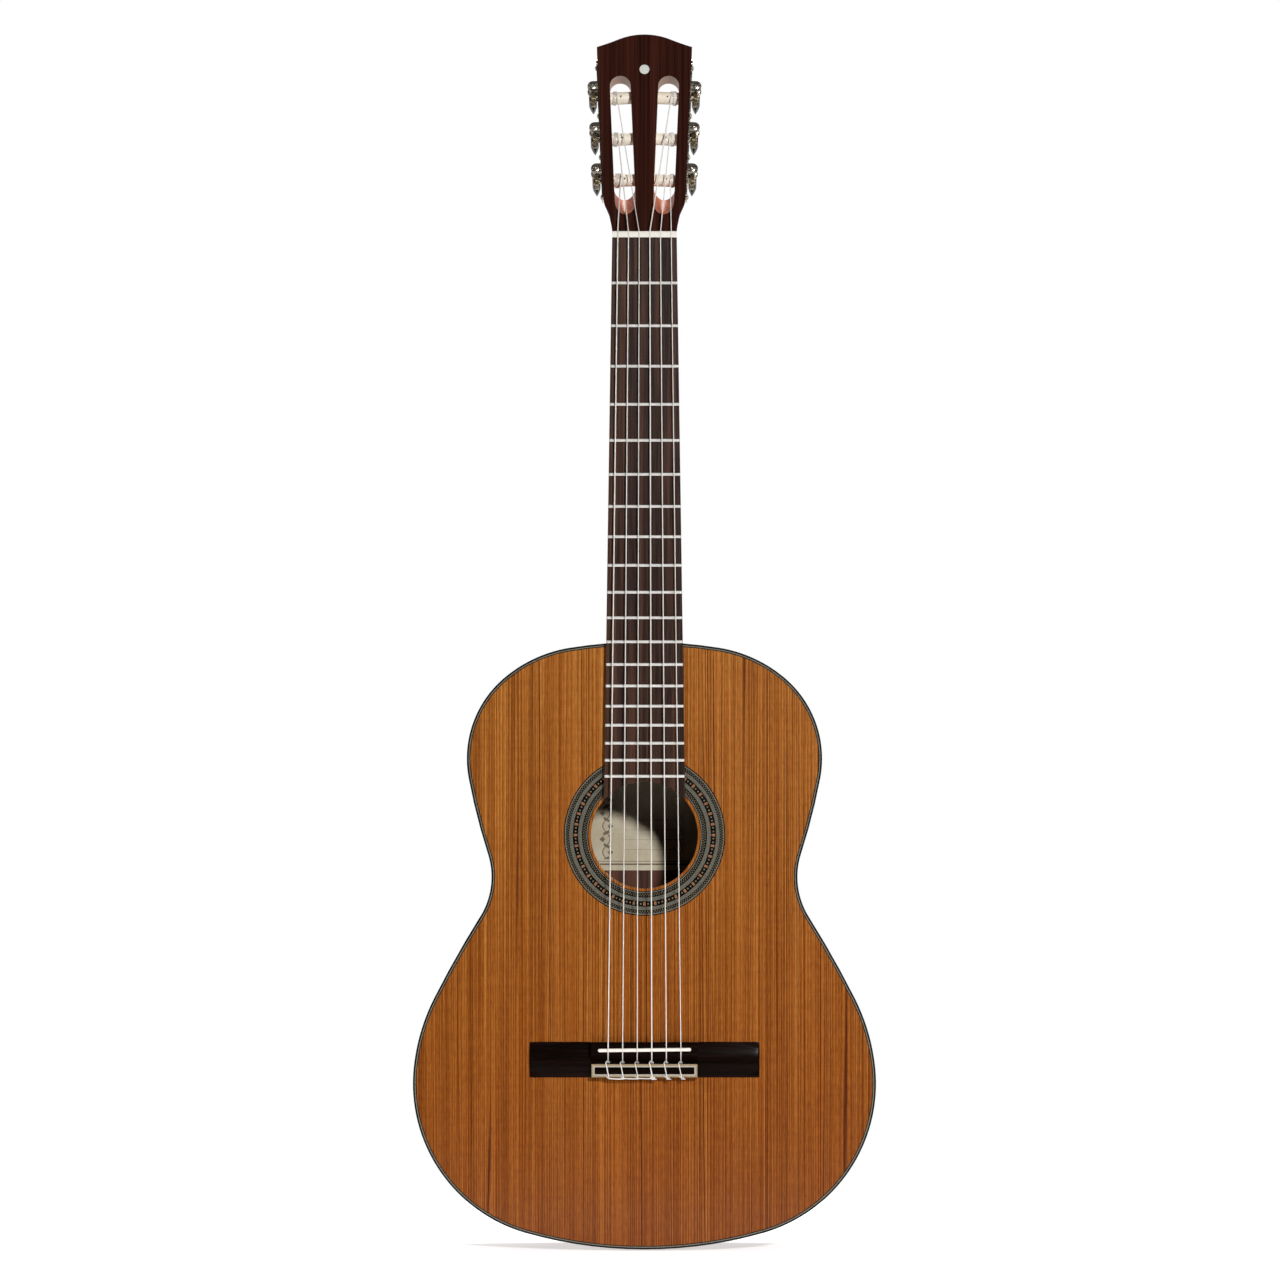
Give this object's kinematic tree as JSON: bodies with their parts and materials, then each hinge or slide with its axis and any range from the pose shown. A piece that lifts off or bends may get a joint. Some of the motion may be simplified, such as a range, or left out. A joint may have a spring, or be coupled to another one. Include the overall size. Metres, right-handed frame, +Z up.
{
  "type": "classical guitar",
  "caption": "Classical guitar with a cedar top, rosewood body, slotted headstock with worm tuners, mosaic rosette and tie-block bridge.",
  "frame": {"origin": "centre of the neck's back at the nut line, where a wall hanger or neck rest holds the guitar", "axes": "+Z up along the neck from the body to the head, -Y out of the soundboard, +X towards the treble side"},
  "size_m": [0.3728, 0.1091, 0.9811],
  "materials": {
    "cedar": "satin, straight grain",
    "rosewood": "satin polish",
    "mahogany": "satin polish",
    "spruce": "bare, straight grain",
    "black_wood": "satin",
    "white_wood": "satin",
    "rosette_inlay": "satin, wood mosaic",
    "ebony": "oiled",
    "bridge_rosewood": "satin",
    "bone": "polished bone",
    "edging": "satin",
    "pearl": "pearl",
    "paper_label": "matt",
    "fret_metal": "polished",
    "tuner_metal": "nickel plated, warm and aged",
    "roller_plastic": "ivory coloured",
    "button_plastic": "black, polished",
    "nylon": "clear nylon",
    "wound_string": "silver-plated winding"
  },
  "bodies": {
    "guitar": {"soundboard": "cedar", "rosette": "rosette_inlay", "top_purfling": "white_wood", "top_binding": "black_wood", "ribs": "rosewood", "end_graft": "black_wood", "back_plate": "rosewood", "back_binding": "black_wood", "linings": "spruce", "top_braces": "spruce", "bridge_patch": "spruce", "back_braces": "spruce", "neck_block": "mahogany", "tail_block": "mahogany", "label": "paper_label", "bridge": "bridge_rosewood", "tie_block_edging": "edging", "saddle": "bone", "nut": "bone", "neck": "mahogany", "heel": "mahogany", "heel_cap": "black_wood", "headstock": "mahogany", "head_veneer": "rosewood", "head_inlay": "pearl", "fingerboard": "ebony", "frets": "fret_metal", "tuner_plate_treble": "tuner_metal", "tuner_plate_bass": "tuner_metal", "plate_screws": "tuner_metal", "string_1": "nylon", "string_2": "nylon", "string_3": "nylon", "string_4": "wound_string", "string_5": "wound_string", "string_6": "wound_string"},
    "worm_shaft_1": {"worm_1": "tuner_metal", "button_1": "button_plastic"},
    "roller_shaft_1": {"roller_1": "roller_plastic", "gear_1": "tuner_metal"},
    "worm_shaft_2": {"worm_2": "tuner_metal", "button_2": "button_plastic"},
    "roller_shaft_2": {"roller_2": "roller_plastic", "gear_2": "tuner_metal"},
    "worm_shaft_3": {"worm_3": "tuner_metal", "button_3": "button_plastic"},
    "roller_shaft_3": {"roller_3": "roller_plastic", "gear_3": "tuner_metal"},
    "worm_shaft_4": {"worm_4": "tuner_metal", "button_4": "button_plastic"},
    "roller_shaft_4": {"roller_4": "roller_plastic", "gear_4": "tuner_metal"},
    "worm_shaft_5": {"worm_5": "tuner_metal", "button_5": "button_plastic"},
    "roller_shaft_5": {"roller_5": "roller_plastic", "gear_5": "tuner_metal"},
    "worm_shaft_6": {"worm_6": "tuner_metal", "button_6": "button_plastic"},
    "roller_shaft_6": {"roller_6": "roller_plastic", "gear_6": "tuner_metal"}
  },
  "joints": [
    {"name": "turn_button_1", "type": "hinge", "parent": "guitar", "child": "worm_shaft_1", "pos_m": [0.03884, 0.00507, 0.05465], "axis": [0, 0.9659, -0.2588], "continuous": true},
    {"name": "turn_roller_1", "type": "hinge", "parent": "guitar", "child": "roller_shaft_1", "pos_m": [0.03388, 0.00288, 0.04649], "axis": [0.9991, -0.0108, -0.0404], "continuous": true},
    {"name": "turn_button_2", "type": "hinge", "parent": "guitar", "child": "worm_shaft_2", "pos_m": [0.04031, 0.01412, 0.08843], "axis": [0, 0.9659, -0.2588], "continuous": true},
    {"name": "turn_roller_2", "type": "hinge", "parent": "guitar", "child": "roller_shaft_2", "pos_m": [0.03535, 0.01193, 0.08027], "axis": [0.9991, -0.0108, -0.0404], "continuous": true},
    {"name": "turn_button_3", "type": "hinge", "parent": "guitar", "child": "worm_shaft_3", "pos_m": [0.04177, 0.02317, 0.1222], "axis": [0, 0.9659, -0.2588], "continuous": true},
    {"name": "turn_roller_3", "type": "hinge", "parent": "guitar", "child": "roller_shaft_3", "pos_m": [0.03682, 0.02098, 0.11404], "axis": [0.9991, -0.0108, -0.0404], "continuous": true},
    {"name": "turn_button_4", "type": "hinge", "parent": "guitar", "child": "worm_shaft_4", "pos_m": [-0.04177, 0.02317, 0.1222], "axis": [0, 0.9659, -0.2588], "continuous": true},
    {"name": "turn_roller_4", "type": "hinge", "parent": "guitar", "child": "roller_shaft_4", "pos_m": [-0.03682, 0.02098, 0.11404], "axis": [-0.9991, -0.0108, -0.0404], "continuous": true},
    {"name": "turn_button_5", "type": "hinge", "parent": "guitar", "child": "worm_shaft_5", "pos_m": [-0.04031, 0.01412, 0.08843], "axis": [0, 0.9659, -0.2588], "continuous": true},
    {"name": "turn_roller_5", "type": "hinge", "parent": "guitar", "child": "roller_shaft_5", "pos_m": [-0.03535, 0.01193, 0.08027], "axis": [-0.9991, -0.0108, -0.0404], "continuous": true},
    {"name": "turn_button_6", "type": "hinge", "parent": "guitar", "child": "worm_shaft_6", "pos_m": [-0.03884, 0.00507, 0.05465], "axis": [0, 0.9659, -0.2588], "continuous": true},
    {"name": "turn_roller_6", "type": "hinge", "parent": "guitar", "child": "roller_shaft_6", "pos_m": [-0.03388, 0.00288, 0.04649], "axis": [-0.9991, -0.0108, -0.0404], "continuous": true}
  ],
  "couplings": [
    {"joint": "turn_roller_1", "follows": "turn_button_1", "ratio": 0.071429},
    {"joint": "turn_roller_2", "follows": "turn_button_2", "ratio": 0.071429},
    {"joint": "turn_roller_3", "follows": "turn_button_3", "ratio": 0.071429},
    {"joint": "turn_roller_4", "follows": "turn_button_4", "ratio": -0.071429},
    {"joint": "turn_roller_5", "follows": "turn_button_5", "ratio": -0.071429},
    {"joint": "turn_roller_6", "follows": "turn_button_6", "ratio": -0.071429}
  ]
}
